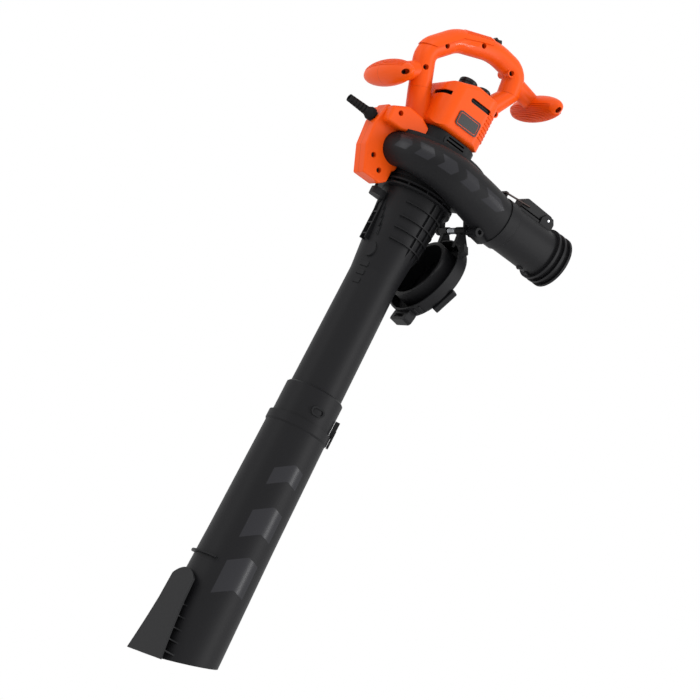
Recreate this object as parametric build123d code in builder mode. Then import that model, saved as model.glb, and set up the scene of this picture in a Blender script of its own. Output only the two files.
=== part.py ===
from build123d import *
import math
import os

# Garden blower vacuum, vacuum mode. Millimetres.
# Z is the shared axis of suction tube, fan and motor, with the nozzle at the bottom.
# +X is the way the bag outlet blows. Y = 0 is the plane that the handle halves meet in.

# ---- driving dimensions ----
WALL = 2.4                 # moulded wall of the tubes and the handle
GAP = 0.4                  # clearance between separate mouldings

# suction tubes
NOZZLE_R = 60.0            # lower tube, outside radius at the mouth
LOWER_MID_R = 54.5
LOWER_TOP_R = 51.8
LOWER_MID_Z = 225.0
LIP_R = 53.6
LIP_Z = 431.0              # top edge of the lower tube
LIP_HEIGHT = 14.0
MOUTH_RISE = 33.0          # how much higher the mouth is at the +X side
COLLAR_R = 49.0            # push-fit collar at the foot of the upper tube
COLLAR_TOP_Z = 487.0
COLLAR_FOOT_Z = 372.0
UPPER_FOOT_R = 44.0
UPPER_TOP_R = 42.0
CONE_START_Z = 700.0
CONE_TOP_R = 55.0
FLANGE_Z = 842.0           # underside of the tube's mounting flange
FLANGE_R = 66.0

# fan housing
COLLAR_BOTTOM_Z = 860.0
INTAKE_R = 61.0
INTAKE_BORE_R = 52.0
CHAMBER_R = 92.0
CHAMBER_FLOOR_Z = 876.0
CHAMBER_TOP_Z = 926.0
HOUSING_WALL = 3.0
OUTLET_R = 40.0
OUTLET_Y = -84.0
OUTLET_Z = 870.0
OUTLET_START_X = 104.0
SPLIT_SLOPE_DEG = 4.0      # the joint face of the scroll falls towards the outlet
SPLIT_Z = 890.0

# outlet adaptor
ADAPTOR_END_X = 238.0
RING_R = 46.0

# motor and cover
BASE_TOP_Z = 955.0
COVER_HALF_Y = 56.0
SHAFT_R = 4.0
IMPELLER_R = 80.0

# inlet cover
HINGE_X = 92.0
HINGE_Z = 843.0
COVER_TILT_DEG = 9.3       # how far the hanging cover leans from upright
COVER_R = 74.0
COVER_CENTRE_X = 104.0     # middle of the cover's back face
COVER_CENTRE_Z = 749.0

# handle
GRIP_R = 19.0
BAR_R = 21.5
BAR_HALF = 70.0
REAR_BAR = (-145.5, 996.0)
FRONT_BAR = (129.5, 1106.0)

os.makedirs("parts", exist_ok=True)
FINISHED = []


def finish(builder, label):
    """Name one finished piece and write it out."""
    builder.part.label = label
    export_step(builder.part, f"parts/{label}.step")
    FINISHED.append(label)


def lower_radius(z):
    """Outside radius of the lower tube at height z."""
    if z > LOWER_MID_Z:
        t = (z - LOWER_MID_Z) / (LIP_Z - LOWER_MID_Z)
        return LOWER_MID_R + t * (LOWER_TOP_R - LOWER_MID_R)
    t = (LOWER_MID_Z - z) / LOWER_MID_Z
    return LOWER_MID_R + t * (NOZZLE_R - LOWER_MID_R)


def cone_radius(z):
    """Outside radius of the upper tube's top cone at height z."""
    t = (z - CONE_START_Z) / (FLANGE_Z - CONE_START_Z)
    return UPPER_TOP_R + t * (CONE_TOP_R - UPPER_TOP_R)


def radial_plane(angle_deg, radius, z, roll_deg=0.0):
    """A plane standing on a cylinder about Z, facing outwards, its local Y upwards."""
    a = math.radians(angle_deg)
    out = Vector(math.cos(a), math.sin(a), 0)
    side = Vector(-math.sin(a), math.cos(a), 0)
    plane = Plane(origin=(radius * out.X, radius * out.Y, z), x_dir=side, z_dir=out)
    return plane.rotated((0, 0, roll_deg))


# ------------------------------------------------------------------ lower suction tube
PLATE_X = -62.0
PLATE_T = 3.0
PLATE_TOP_Z = 146.0
FIN_Z = 176.0
FIN_REACH = 6.0
FIN_T = 2.6
FIN_HALF_DEG = 41.0
GUSSET_COUNT = 7
GUSSET_T = 2.0

with BuildPart() as lower_tube:
    # the flared skin, still solid inside
    with BuildSketch(Plane.XZ):
        with BuildLine():
            Polyline(
                (0, 0),
                (NOZZLE_R, 0),
                (LOWER_MID_R, LOWER_MID_Z),
                (LOWER_TOP_R, LIP_Z - LIP_HEIGHT - 3),
                (LIP_R, LIP_Z - LIP_HEIGHT),
                (LIP_R, LIP_Z),
                (0, LIP_Z),
                close=True,
            )
        make_face()
    revolve(axis=Axis.Z)
    # scraper plate on the -X side, narrow above and flared at its foot
    with BuildSketch(Plane.YZ.offset(PLATE_X)):
        with BuildLine():
            Line((-58, 0), (58, 0))
            ThreePointArc((58, 0), (47, 46), (39, 90))
            Line((39, 90), (36, 132))
            ThreePointArc((36, 132), (0, PLATE_TOP_Z), (-36, 132))
            Line((-36, 132), (-39, 90))
            ThreePointArc((-39, 90), (-47, 46), (-58, 0))
        make_face()
    extrude(amount=PLATE_T)
    # gussets between plate and tube, both sides
    for i in range(GUSSET_COUNT):
        z = 14 + 19 * i
        reach = 50 - 0.22 * z + max(0, 40 - z) * 0.1
        for side in (-1, 1):
            with BuildSketch(Plane.XY.offset(z)):
                with BuildLine():
                    Polyline(
                        (PLATE_X + 1, side * 18),
                        (PLATE_X + 1, side * reach),
                        (PLATE_X + 10, side * (reach - 1)),
                        (-30, side * 46),
                        (-30, side * 18),
                        close=True,
                    )
                make_face()
            extrude(amount=GUSSET_T)
    # the crescent stop fin
    with BuildSketch(Plane.XY.offset(FIN_Z)):
        with BuildLine():
            fin_r = lower_radius(FIN_Z) + FIN_REACH
            a0 = 180 - FIN_HALF_DEG
            fin_arc = CenterArc((0, 0), fin_r, a0, 2 * FIN_HALF_DEG)
            Line(fin_arc @ 1, (-30, -25))
            Line((-30, -25), (-30, 25))
            Line((-30, 25), fin_arc @ 0)
        make_face()
    extrude(amount=FIN_T)
    # the bore
    with BuildSketch(Plane.XZ):
        with BuildLine():
            Polyline(
                (0, -5),
                (NOZZLE_R - WALL, -5),
                (LOWER_MID_R - WALL, LOWER_MID_Z),
                (COLLAR_R + GAP, LIP_Z - LIP_HEIGHT),
                (COLLAR_R + GAP, LIP_Z + 5),
                (0, LIP_Z + 5),
                close=True,
            )
        make_face()
    revolve(axis=Axis.Z, mode=Mode.SUBTRACT)
    # the mouth is cut slanting, lowest at the plate
    with BuildSketch(Plane.XZ.offset(80)):
        with BuildLine():
            Polyline((-58, 0), (NOZZLE_R + 4, MOUTH_RISE), (NOZZLE_R + 4, -10), (-58, -10), close=True)
        make_face()
    extrude(amount=-160, mode=Mode.SUBTRACT)
finish(lower_tube, "lower_tube")

# ------------------------------------------------------------------ upper suction tube
RIB_Z = (757.0, 777.0, 797.0, 821.0)
RIB_REACH = 4.5
RIB_T = 2.0
AXIAL_RIBS_DEG = (282, 300, 318, 336, 354, 12, 30, 48, 66, 84)
FLANGE_T = 3.0
FLANGE_GAP = 5.0
FLANGE_TOP_Z = FLANGE_Z + 2 * FLANGE_T + FLANGE_GAP
CATCH_DEG = 207.0
CATCH_Z = 730.0

with BuildPart() as upper_tube:
    with BuildSketch(Plane.XZ):
        with BuildLine():
            Polyline(
                (0, COLLAR_FOOT_Z),
                (COLLAR_R, COLLAR_FOOT_Z),
                (COLLAR_R, COLLAR_TOP_Z - 3),
                (COLLAR_R - 3, COLLAR_TOP_Z),
                (UPPER_FOOT_R, COLLAR_TOP_Z),
                (UPPER_TOP_R, CONE_START_Z),
                (CONE_TOP_R, FLANGE_Z),
                (CONE_TOP_R, FLANGE_TOP_Z),
                (0, FLANGE_TOP_Z),
                close=True,
            )
        make_face()
    revolve(axis=Axis.Z)
    # ring ribs round the cone
    for z in RIB_Z:
        with BuildSketch(Plane.XY.offset(z)):
            Circle(cone_radius(z) + RIB_REACH)
        extrude(amount=RIB_T)
    # axial ribs, and the two rails of the side channel
    for angle in AXIAL_RIBS_DEG:
        with BuildSketch(Plane.XZ.rotated((0, 0, angle))):
            with BuildLine():
                Polyline(
                    (30, RIB_Z[0] - 14),
                    (cone_radius(RIB_Z[0] - 14) + 0.5, RIB_Z[0] - 14),
                    (cone_radius(RIB_Z[0]) + RIB_REACH - 1, RIB_Z[0] + 1),
                    (cone_radius(FLANGE_Z) + RIB_REACH - 1, FLANGE_Z + 1),
                    (30, FLANGE_Z + 1),
                    close=True,
                )
            make_face()
        extrude(amount=RIB_T / 2, both=True)
    # a smooth window in the ring ribs on the -X side
    with BuildSketch(Plane.XY.offset(RIB_Z[0] - 2)):
        with BuildLine():
            window = CenterArc((0, 0), 90, 128, 104)
            Line(window @ 1, (0, 0))
            Line((0, 0), window @ 0)
        make_face()
    extrude(amount=FLANGE_Z - RIB_Z[0], mode=Mode.SUBTRACT)
    with BuildSketch(Plane.XZ):
        with BuildLine():
            Polyline(
                (0, CONE_START_Z),
                (UPPER_TOP_R, CONE_START_Z),
                (CONE_TOP_R, FLANGE_Z),
                (0, FLANGE_Z),
                close=True,
            )
        make_face()
    revolve(axis=Axis.Z)
    # slanted ribs and pocketed rails in that window
    for i, z in enumerate((765, 779, 793, 807)):
        with BuildSketch(radial_plane(214 - 3 * i, 38, z, roll_deg=-32)):
            Rectangle(2.0, 20)
        extrude(amount=cone_radius(z) + 3.0 - 38)
    for angle in (172, 188):
        with BuildSketch(radial_plane(angle, 38, 790)):
            Rectangle(2.4, 92)
        extrude(amount=16.0)
    for z in (752, 772, 792, 812):
        with BuildSketch(radial_plane(180, 38, z)):
            Rectangle(16, 2.4)
        extrude(amount=15.5)
    # mounting flange: two thin rings joined by webs
    for z in (FLANGE_Z, FLANGE_Z + FLANGE_T + FLANGE_GAP):
        with BuildSketch(Plane.XY.offset(z)):
            Circle(FLANGE_R)
        extrude(amount=FLANGE_T)
    for angle in range(15, 375, 30):
        with BuildSketch(radial_plane(angle, 50, FLANGE_Z + FLANGE_T + FLANGE_GAP / 2)):
            Rectangle(2, FLANGE_GAP + 1)
        extrude(amount=FLANGE_R - 51.0)
    # hooking lobe under the cord box
    with BuildSketch(Plane.XY.offset(FLANGE_Z - 28)):
        with Locations((-63, 0)):
            RectangleRounded(28, 22, 8)
    extrude(amount=12)
    # raised oval and three steps that show which way the tube goes
    with BuildSketch(radial_plane(CATCH_DEG, 36, CATCH_Z)):
        Ellipse(9, 13)
    extrude(amount=cone_radius(CATCH_Z) + 2.6 - 36)
    for i in range(3):
        with BuildSketch(radial_plane(CATCH_DEG, 36, 704 - 15 * i)):
            Rectangle(15 - i, 8)
        extrude(amount=UPPER_TOP_R + 1.6 - 36)
    # raised outline of the lock mark on the collar
    with BuildSketch(radial_plane(262, 40, 452)):
        SlotOverall(24, 15)
        SlotOverall(18, 9, mode=Mode.SUBTRACT)
    extrude(amount=COLLAR_R + 1.4 - 40)
    # the bore
    with BuildSketch(Plane.XZ):
        with BuildLine():
            Polyline(
                (0, COLLAR_FOOT_Z - 5),
                (COLLAR_R - WALL, COLLAR_FOOT_Z - 5),
                (COLLAR_R - WALL, COLLAR_TOP_Z - 12),
                (UPPER_FOOT_R - WALL, COLLAR_TOP_Z - 2),
                (UPPER_TOP_R - WALL, CONE_START_Z),
                (CONE_TOP_R - WALL - 1, FLANGE_TOP_Z + 5),
                (0, FLANGE_TOP_Z + 5),
                close=True,
            )
        make_face()
    revolve(axis=Axis.Z, mode=Mode.SUBTRACT)
finish(upper_tube, "upper_tube")

# snap catch that holds the two tubes together
with BuildPart() as tube_catch:
    with BuildSketch(radial_plane(331.4, LIP_R + GAP, 430)):
        RectangleRounded(16, 30, 4)
    extrude(amount=3.6)
    with BuildSketch(radial_plane(331.4, COLLAR_R + GAP, 446)):
        RectangleRounded(14, 28, 3)
    extrude(amount=LIP_R - COLLAR_R + 3)
finish(tube_catch, "tube_catch")

# rubber seal between tube flange and fan housing
with BuildPart() as tube_seal:
    with BuildSketch(Plane.XY.offset(FLANGE_TOP_Z)):
        Circle(59.0)
        Circle(53.0, mode=Mode.SUBTRACT)
    extrude(amount=COLLAR_BOTTOM_Z - FLANGE_TOP_Z)
finish(tube_seal, "tube_seal")

# ------------------------------------------------------------------ fan housing scroll
# Sections of the scroll: angle about Z, tube radius, distance of its middle, height.
SCROLL_START_DEG = 30.0
SCROLL_END_DEG = 270.0
SCROLL_STEPS = 8


def scroll_section(t, inset):
    """Plane and radius of the scroll's round section, t from 0 at its tongue to 1."""
    angle = SCROLL_START_DEG + t * (SCROLL_END_DEG - SCROLL_START_DEG)
    radius = 21.0 + 15.0 * t * t
    reach = 96.0 + 26.0 * t ** 2.2
    middle = reach - radius
    height = 901.0 - 15.0 * t ** 2
    a = math.radians(angle)
    origin = (middle * math.cos(a), middle * math.sin(a), height)
    along = (-math.sin(a), math.cos(a), 0)
    return Plane(origin=origin, x_dir=(math.cos(a), math.sin(a), 0), z_dir=along), radius - inset


def round_section(plane, radius):
    """One round face of a loft."""
    with BuildSketch(plane) as section:
        Circle(radius)
    return section.sketch.faces()[0]


def scroll_faces(inset):
    """Faces of the scroll from its tongue to the outlet side, inset by a wall."""
    return [round_section(*scroll_section(i / SCROLL_STEPS, inset)) for i in range(SCROLL_STEPS + 1)]


def duct_faces(inset):
    """Faces of the duct that turns the scroll into the straight outlet."""
    middle = Plane(origin=(55, OUTLET_Y - 1.0, 879), x_dir=(0, -1, 0), z_dir=(1, 0, -0.12))
    last = Plane(origin=(OUTLET_START_X, OUTLET_Y, OUTLET_Z), x_dir=(0, -1, 0), z_dir=(1, 0, 0))
    return [
        round_section(*scroll_section(1, inset)),
        round_section(middle, OUTLET_R - 1.5 - inset),
        round_section(last, OUTLET_R - inset),
    ]


with BuildPart() as scroll_outer:
    loft(scroll_faces(0))
    tongue_plane, tongue_radius = scroll_section(0, 0)
    loft([round_section(tongue_plane, tongue_radius), round_section(tongue_plane.offset(-14), tongue_radius - 10)])
with BuildPart() as scroll_inner:
    loft(scroll_faces(HOUSING_WALL))
with BuildPart() as duct_outer:
    loft(duct_faces(0))
with BuildPart() as duct_inner:
    loft(duct_faces(HOUSING_WALL))

with BuildPart() as housing:
    add(scroll_outer.part)
    add(duct_outer.part)
    with BuildSketch(Plane.XY.offset(CHAMBER_FLOOR_Z)):
        Circle(CHAMBER_R)
    extrude(amount=CHAMBER_TOP_Z - CHAMBER_FLOOR_Z)
    # the air space: scroll, outlet duct and fan chamber
    add(scroll_inner.part, mode=Mode.SUBTRACT)
    add(duct_inner.part, mode=Mode.SUBTRACT)
    with BuildSketch(Plane.XY.offset(CHAMBER_FLOOR_Z + HOUSING_WALL)):
        Circle(CHAMBER_R - HOUSING_WALL)
    extrude(amount=CHAMBER_TOP_Z - CHAMBER_FLOOR_Z - 2 * HOUSING_WALL, mode=Mode.SUBTRACT)

SPLIT_PLANE = Plane(
    origin=(0, 0, SPLIT_Z),
    x_dir=(math.cos(math.radians(SPLIT_SLOPE_DEG)), 0, -math.sin(math.radians(SPLIT_SLOPE_DEG))),
    z_dir=(math.sin(math.radians(SPLIT_SLOPE_DEG)), 0, math.cos(math.radians(SPLIT_SLOPE_DEG))),
)

with BuildPart() as volute_upper:
    add(housing.part)
    with BuildSketch(SPLIT_PLANE):
        Rectangle(700, 700)
    extrude(amount=200, mode=Mode.INTERSECT)
    # small stop beside the motor base
    with BuildSketch(Plane.XY.offset(CHAMBER_TOP_Z - 2)):
        with Locations((67, -28)):
            Circle(6)
    extrude(amount=18)
    # hook that the outlet latch pulls on
    with BuildSketch(Plane.XZ.offset(-OUTLET_Y + 8)):
        with BuildLine():
            Polyline((96.5, 908), (96.5, 917), (95.5, 920), (101, 920), (101, 908), close=True)
        make_face()
    extrude(amount=-16)
    # shaft hole
    with BuildSketch(Plane.XY.offset(CHAMBER_TOP_Z - 10)):
        Circle(12)
    extrude(amount=20, mode=Mode.SUBTRACT)
finish(volute_upper, "volute_upper")

with BuildPart() as volute_lower:
    add(housing.part)
    with BuildSketch(SPLIT_PLANE):
        Rectangle(700, 700)
    extrude(amount=200, mode=Mode.SUBTRACT)
    # intake collar with its strengthening tabs
    with BuildSketch(Plane.XY.offset(COLLAR_BOTTOM_Z)):
        Circle(INTAKE_R)
    extrude(amount=CHAMBER_FLOOR_Z - COLLAR_BOTTOM_Z + 2)
    for angle in (222, 250, 290, 40, 100):
        with BuildSketch(radial_plane(angle, 56, 870)):
            Rectangle(3, 12)
        extrude(amount=INTAKE_R - 56 + 1.2)
    # hinge lugs for the inlet cover
    for y in (-42, 36):
        with BuildSketch(Plane.XZ.offset(-y)):
            with BuildLine():
                lug_arc = CenterArc((HINGE_X, HINGE_Z), 7.5, 160, 220)
                Line(lug_arc @ 1, (84, 878))
                Line((84, 878), (66, 878))
                Line((66, 878), lug_arc @ 0)
            make_face()
        extrude(amount=-6)
    # screw boss and bracket under the outlet
    with BuildSketch(Plane.XZ.offset(100)):
        with Locations((80, 832)):
            Circle(8)
    extrude(amount=-26)
    with BuildSketch(Plane.XZ.offset(93)):
        with BuildLine():
            Polyline((74, 824), (98, 821), (103.5, 827), (103.5, 833), (74, 838), close=True)
        make_face()
    extrude(amount=-14)
    with BuildSketch(Plane.XY.offset(COLLAR_BOTTOM_Z - 5)):
        Circle(INTAKE_BORE_R)
    extrude(amount=CHAMBER_FLOOR_Z + HOUSING_WALL + 1 - COLLAR_BOTTOM_Z + 5, mode=Mode.SUBTRACT)
    # hinge pin bore, and the hex recess of the boss
    with BuildSketch(Plane.XZ.offset(46)):
        with Locations((HINGE_X, HINGE_Z)):
            Circle(2.55)
    extrude(amount=-92, mode=Mode.SUBTRACT)
    with BuildSketch(Plane.XZ.offset(101)):
        with Locations((80, 832)):
            RegularPolygon(4.4, 6)
    extrude(amount=-6, mode=Mode.SUBTRACT)
finish(volute_lower, "volute_lower")

# ------------------------------------------------------------------ outlet adaptor and its latch
OUTLET_AXIS = Axis((0, OUTLET_Y, OUTLET_Z), (1, 0, 0))
OUTLET_SIDE = Plane(origin=(0, OUTLET_Y, OUTLET_Z), x_dir=(1, 0, 0), z_dir=(0, -1, 0))
ADAPTOR_START_X = OUTLET_START_X + 0.3
BORE_R = 36.0
SOCKET_R = 42.0
RINGS_X = (209.0, 221.5, ADAPTOR_END_X - 4.0)
LATCH_PIN = (188.0, 919.0)
LATCH_HALF = 12.0
PIN_R = 2.0

with BuildPart() as outlet_adaptor:
    with BuildSketch(OUTLET_SIDE):
        with BuildLine():
            Polyline(
                (ADAPTOR_START_X, 0),
                (ADAPTOR_START_X, SOCKET_R),
                (124, SOCKET_R),
                (126, 39.5),
                (200, 40.0),
                (ADAPTOR_END_X, 41.0),
                (ADAPTOR_END_X, 0),
                close=True,
            )
        make_face()
    revolve(axis=OUTLET_AXIS)
    # three rings that the collection bag clips over
    for x in RINGS_X:
        with BuildSketch(Plane(origin=(x, OUTLET_Y, OUTLET_Z), z_dir=(1, 0, 0))):
            Circle(RING_R)
        extrude(amount=4)
    # cheeks that carry the latch lever, and a saddle under it
    for y in (OUTLET_Y - LATCH_HALF - 3.4, OUTLET_Y + LATCH_HALF + 0.6):
        with BuildSketch(Plane.XZ.offset(-y)):
            with BuildLine():
                Polyline((174, 900), (174, 918), (181, 926), (195, 926), (200, 918), (200, 900), close=True)
            make_face()
        extrude(amount=-2.8)
    with BuildSketch(Plane.XY.offset(900)):
        with Locations((162, OUTLET_Y)):
            Rectangle(64, 2 * LATCH_HALF + 3)
    extrude(amount=11)
    # two small lugs underneath
    for x in (186, 203):
        with BuildSketch(Plane.XZ.offset(-OUTLET_Y - 4)):
            with Locations((x, OUTLET_Z - 39)):
                Circle(4.5)
        extrude(amount=8)
    with BuildSketch(Plane(origin=(ADAPTOR_START_X - 5, OUTLET_Y, OUTLET_Z), z_dir=(1, 0, 0))):
        Circle(BORE_R)
    extrude(amount=150, mode=Mode.SUBTRACT)
    with BuildSketch(Plane.XZ.offset(-OUTLET_Y + 30)):
        with Locations(LATCH_PIN):
            Circle(PIN_R + 0.05)
    extrude(amount=-60, mode=Mode.SUBTRACT)
finish(outlet_adaptor, "outlet_adaptor")

with BuildPart() as outlet_gasket:
    with BuildSketch(Plane(origin=(OUTLET_START_X + 0.02, OUTLET_Y, OUTLET_Z), z_dir=(1, 0, 0))):
        Circle(OUTLET_R - 0.6)
        Circle(BORE_R + 1, mode=Mode.SUBTRACT)
    extrude(amount=0.26)
finish(outlet_gasket, "outlet_gasket")

with BuildPart() as latch_pin:
    with BuildSketch(Plane.XZ.offset(-OUTLET_Y + LATCH_HALF + 3.4)):
        with Locations(LATCH_PIN):
            Circle(PIN_R)
    extrude(amount=-2 * LATCH_HALF - 6.8)
finish(latch_pin, "latch_pin")

with BuildPart() as outlet_latch:
    with BuildSketch(Plane.XZ.offset(-OUTLET_Y + LATCH_HALF)):
        with BuildLine():
            Line((131, 914), (131, 924))
            ThreePointArc((131, 924), (134, 929), (140, 931))
            Line((140, 931), (190, 929))
            ThreePointArc((190, 929), (196, 925), (197, 918))
            Line((197, 918), (190, 914))
            Line((190, 914), (131, 914))
        make_face()
    extrude(amount=-2 * LATCH_HALF)
    with BuildSketch(Plane.XZ.offset(-OUTLET_Y + LATCH_HALF - 2.4)):
        with BuildLine():
            Polyline((134, 912), (134, 926), (178, 926), (178, 912), close=True)
        make_face()
    extrude(amount=-2 * LATCH_HALF + 4.8, mode=Mode.SUBTRACT)
    with BuildSketch(Plane.XZ.offset(-OUTLET_Y + 30)):
        with Locations(LATCH_PIN):
            Circle(PIN_R + 0.06)
    extrude(amount=-60, mode=Mode.SUBTRACT)
    # holes for the wire bail
    with BuildSketch(Plane.XZ.offset(-OUTLET_Y + 30)):
        with Locations((144, 919.5)):
            Circle(1.7)
    extrude(amount=-60, mode=Mode.SUBTRACT)
finish(outlet_latch, "outlet_latch")

BAIL_R = 1.6
BAIL_X = 93.0
BAIL_HALF = LATCH_HALF + 2.4
with BuildPart() as latch_bail:
    with BuildLine():
        FilletPolyline(
            (144, OUTLET_Y - LATCH_HALF + 1, 919.5),
            (144, OUTLET_Y - BAIL_HALF, 919.5),
            (BAIL_X, OUTLET_Y - BAIL_HALF, 914.5),
            (BAIL_X, OUTLET_Y + BAIL_HALF, 914.5),
            (144, OUTLET_Y + BAIL_HALF, 919.5),
            (144, OUTLET_Y + LATCH_HALF - 1, 919.5),
            radius=1.7,
        )
    with BuildSketch(Plane(origin=(144, OUTLET_Y - LATCH_HALF + 1, 919.5), z_dir=(0, -1, 0))):
        Circle(BAIL_R)
    sweep()
finish(latch_bail, "latch_bail")

# ------------------------------------------------------------------ inlet cover, hanging open
TILT = math.radians(COVER_TILT_DEG)
COVER_IN = (-math.cos(TILT), 0, math.sin(TILT))
COVER_WALL = 3.0
COVER_DEPTH = 24.0
PLUG_R = 56.0
PLUG_DEPTH = 40.0
KNUCKLE_HALF = 35.4


def cover_plane(depth):
    """A plane parallel to the cover's back, its local X along -Y and its local Y upwards."""
    origin = (COVER_CENTRE_X + depth * COVER_IN[0], 0, COVER_CENTRE_Z + depth * COVER_IN[2])
    return Plane(origin=origin, x_dir=(0, -1, 0), z_dir=COVER_IN)


with BuildPart() as inlet_cover:
    with BuildSketch(cover_plane(0)):
        Circle(COVER_R)
    extrude(amount=COVER_DEPTH)
    fillet(inlet_cover.edges().group_by(Axis.X)[-1], radius=7)
    with BuildSketch(cover_plane(COVER_WALL)):
        Circle(COVER_R - COVER_WALL)
    extrude(amount=COVER_DEPTH, mode=Mode.SUBTRACT)
    with BuildSketch(cover_plane(COVER_WALL - 0.5)):
        Circle(PLUG_R)
        Circle(PLUG_R - 2.6, mode=Mode.SUBTRACT)
    extrude(amount=PLUG_DEPTH - COVER_WALL + 0.5)
    with BuildSketch(cover_plane(PLUG_DEPTH - 3)):
        Circle(PLUG_R)
        Circle(PLUG_R - 6, mode=Mode.SUBTRACT)
    extrude(amount=3)
    # raised block on the back and ear by the hinge, on the -Y side
    with BuildSketch(cover_plane(3)):
        with PolarLocations(COVER_R - 7, 1, start_angle=-28):
            RectangleRounded(20, 44, 3)
    extrude(amount=-9)
    with BuildSketch(cover_plane(COVER_DEPTH - 10)):
        with PolarLocations(COVER_R + 3, 1, start_angle=44):
            Rectangle(14, 22)
    extrude(amount=10)
    with BuildSketch(cover_plane(COVER_WALL)):
        Circle(COVER_R - COVER_WALL)
        Circle(PLUG_R + 0.01, mode=Mode.SUBTRACT)
    extrude(amount=COVER_DEPTH, mode=Mode.SUBTRACT)
    # finger loop at the free end
    with BuildSketch(cover_plane(3)):
        with Locations((0, -COVER_R - 5)):
            RectangleRounded(44, 22, 6)
        with Locations((0, -COVER_R - 7)):
            RectangleRounded(26, 7, 2, mode=Mode.SUBTRACT)
        Circle(COVER_R - 1, mode=Mode.SUBTRACT)
    extrude(amount=16)
    # grip teeth along the lower wall
    for angle in range(-118, -150, -8):
        with BuildSketch(cover_plane(5)):
            with PolarLocations(COVER_R, 1, start_angle=angle + 60):
                Circle(2.0)
        extrude(amount=14)
    # hinge arms and knuckle
    for y in (-28, 20):
        with BuildSketch(Plane.XZ.offset(-y)):
            with BuildLine():
                Polyline((116, 812), (116, 822), (96, 846), (88, 846), (92, 812), close=True)
            make_face()
        extrude(amount=-8)
    with BuildSketch(Plane.XZ.offset(KNUCKLE_HALF)):
        with Locations((HINGE_X, HINGE_Z)):
            Circle(6.5)
    extrude(amount=-2 * KNUCKLE_HALF)
    with BuildSketch(Plane.XZ.offset(60)):
        with Locations((HINGE_X, HINGE_Z)):
            Circle(2.56)
    extrude(amount=-120, mode=Mode.SUBTRACT)
    # room for the closing spring
    with BuildSketch(Plane.XZ.offset(12)):
        with Locations((HINGE_X, HINGE_Z)):
            Circle(7.5)
    extrude(amount=-24, mode=Mode.SUBTRACT)
finish(inlet_cover, "inlet_cover")

with BuildPart() as cover_hinge_pin:
    with BuildSketch(Plane.XZ.offset(43)):
        with Locations((HINGE_X, HINGE_Z)):
            Circle(2.5)
    extrude(amount=-86)
finish(cover_hinge_pin, "cover_hinge_pin")

with BuildPart() as cover_spring:
    for i in range(6):
        with BuildSketch(Plane.XZ.offset(10 - 3.6 * i)):
            with Locations((HINGE_X, HINGE_Z)):
                Circle(5.4)
                Circle(3.6, mode=Mode.SUBTRACT)
        extrude(amount=-1.8)
    with BuildSketch(Plane.XZ.offset(10)):
        with Locations((HINGE_X + 4.5, HINGE_Z)):
            Rectangle(1.7, 1.7)
    extrude(amount=-19.8)
finish(cover_spring, "cover_spring")

with BuildPart() as cover_seal:
    with BuildSketch(cover_plane(COVER_WALL + 0.05)):
        Circle(PLUG_R + 6)
        Circle(PLUG_R + 0.3, mode=Mode.SUBTRACT)
    extrude(amount=4)
finish(cover_seal, "cover_seal")

# ------------------------------------------------------------------ motor and fan
BASE_HALF_X = 51.0
BASE_HALF_Y = 50.0
BASE_X = -5.0              # middle of the motor base
BASE_MOUTH_R = 37.0        # the cooling fan draws air through this
BASE_BOTTOM_Z = CHAMBER_TOP_Z + GAP
BEARING_R = 11.0
BEARING_BORE_R = 4.0
ROTOR_R = 24.0
STATOR_IN_R = 24.8
STATOR_R = 41.0
SHAFT_BOTTOM_Z = 884.0
SHAFT_TOP_Z = 1046.0
BACK_PLATE_Z = 912.0
BLADES = 8


def ring(plane_z, outer, inner, height):
    """A plain ring about Z as a free solid."""
    with BuildPart() as made:
        with BuildSketch(Plane.XY.offset(plane_z)):
            Circle(outer)
            Circle(inner, mode=Mode.SUBTRACT)
        extrude(amount=height)
    return made


with BuildPart() as motor_base:
    with BuildSketch(Plane.XY.offset(BASE_BOTTOM_Z)):
        with Locations((BASE_X, 0)):
            RectangleRounded(2 * BASE_HALF_X, 2 * BASE_HALF_Y, 30)
    extrude(amount=BASE_TOP_Z - BASE_BOTTOM_Z)
    with BuildSketch(Plane.XY.offset(BASE_BOTTOM_Z + 3)):
        with Locations((BASE_X, 0)):
            RectangleRounded(2 * BASE_HALF_X - 6, 2 * BASE_HALF_Y - 6, 27)
    extrude(amount=BASE_TOP_Z - BASE_BOTTOM_Z - 6, mode=Mode.SUBTRACT)
    with BuildSketch(Plane.XY.offset(BASE_TOP_Z - 10)):
        Circle(BASE_MOUTH_R)
    extrude(amount=20, mode=Mode.SUBTRACT)
    with BuildSketch(Plane.XY.offset(BASE_BOTTOM_Z)):
        Circle(18)
    extrude(amount=14)
    with BuildSketch(Plane.XY.offset(BASE_BOTTOM_Z - 1)):
        Circle(7)
    extrude(amount=30, mode=Mode.SUBTRACT)
    with BuildSketch(Plane.XY.offset(BASE_BOTTOM_Z + 5)):
        Circle(BEARING_R)
    extrude(amount=20, mode=Mode.SUBTRACT)
    # a rounded panel of air slots on the front and on the back
    for y in (-BASE_HALF_Y, BASE_HALF_Y - 1.2):
        with BuildSketch(Plane.XZ.offset(-y + 1.2)):
            with Locations((BASE_X, 944)):
                SlotOverall(46, 20)
        extrude(amount=-1.4)
    for row in range(3):
        with BuildSketch(Plane.XZ.offset(80)):
            with Locations((BASE_X, 938 + 6 * row)):
                SlotOverall(38 - 4 * abs(row - 1), 3)
        extrude(amount=-160, mode=Mode.SUBTRACT)
finish(motor_base, "motor_base")

lower_bearing = ring(BASE_BOTTOM_Z + 5.05, BEARING_R - 0.05, BEARING_BORE_R + 0.04, 7)
finish(lower_bearing, "lower_bearing")
upper_bearing = ring(1036, BEARING_R, BEARING_BORE_R + 0.04, 7)
finish(upper_bearing, "upper_bearing")

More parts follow.
